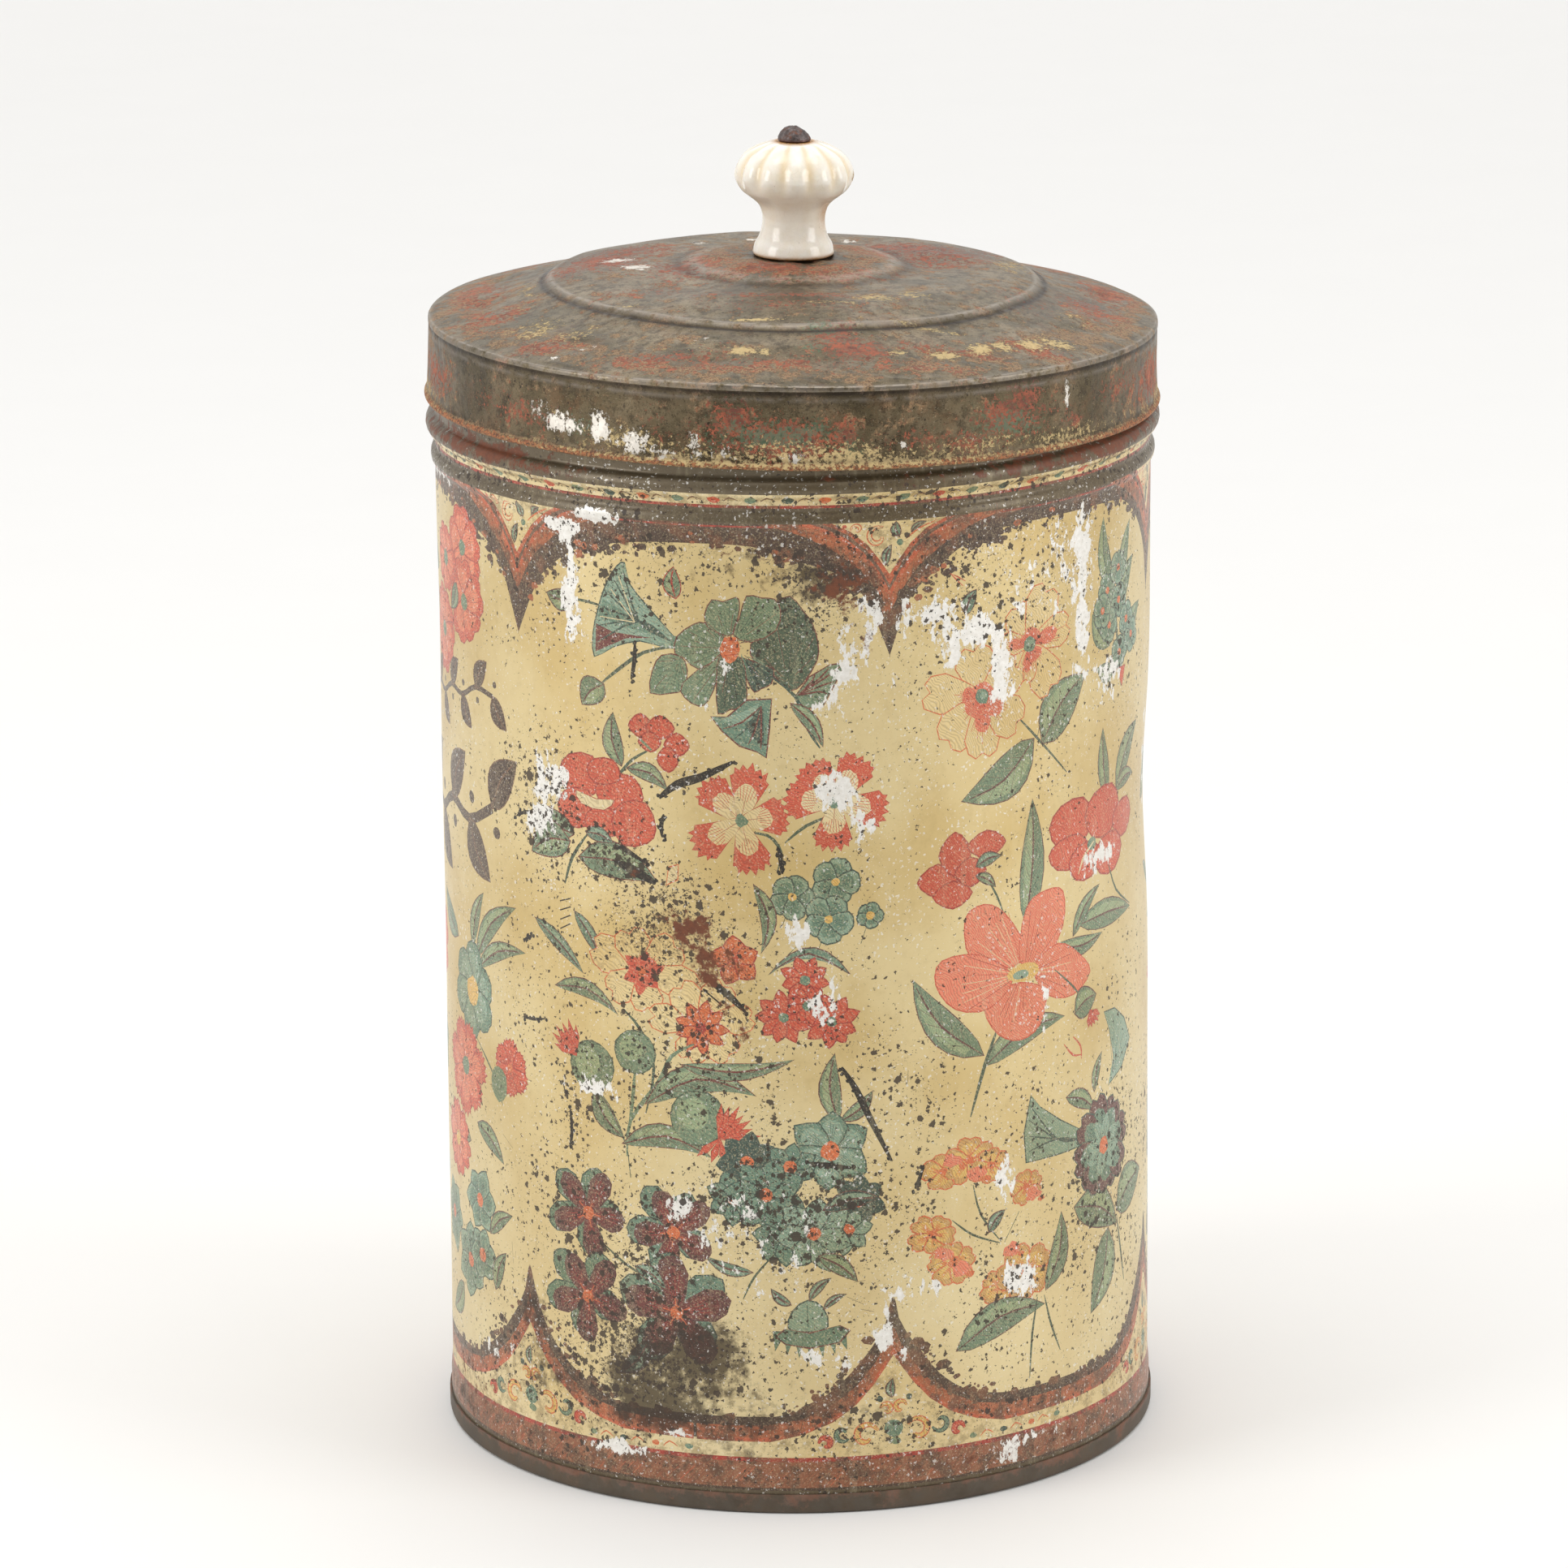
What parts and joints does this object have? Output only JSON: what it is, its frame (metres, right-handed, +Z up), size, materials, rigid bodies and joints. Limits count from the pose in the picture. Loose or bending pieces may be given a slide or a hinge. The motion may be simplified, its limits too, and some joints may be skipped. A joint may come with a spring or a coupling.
{
  "type": "lithographed tin canister",
  "caption": "Tall round tinplate canister printed with scattered flowers, with a lift-off domed lid and a fluted china knob.",
  "frame": {"origin": "centre of the flat underside, where the canister stands", "axes": "+Z up along the canister's axis; -Y is the side with the main spray of flowers"},
  "size_m": [0.1564, 0.1564, 0.2818],
  "materials": {
    "printed_tinplate": "printed and varnished tinplate, worn, with specks of rust",
    "aged_lid_tinplate": "darkened tinplate with traces of print and rust",
    "worn_tinplate": "bare tinplate, dulled",
    "solder": "dull soft solder",
    "glazed_china": "cream glaze, amber in the grooves",
    "rusted_iron": "dark rusted iron"
  },
  "bodies": {
    "canister": {"body_wall": "printed_tinplate", "base_cap": "worn_tinplate", "base_solder_ring": "solder", "side_seam_solder": "solder"},
    "lid": {"lid_dome": "aged_lid_tinplate", "lid_skirt": "aged_lid_tinplate", "lid_solder_ring": "solder", "knob": "glazed_china", "knob_bolt": "rusted_iron", "knob_washer": "rusted_iron", "knob_nut": "rusted_iron"}
  },
  "joints": [
    {"name": "lid_lift", "type": "slide", "parent": "canister", "child": "lid", "axis": [0, 0, 1], "range_m": [0, 0.1]}
  ]
}
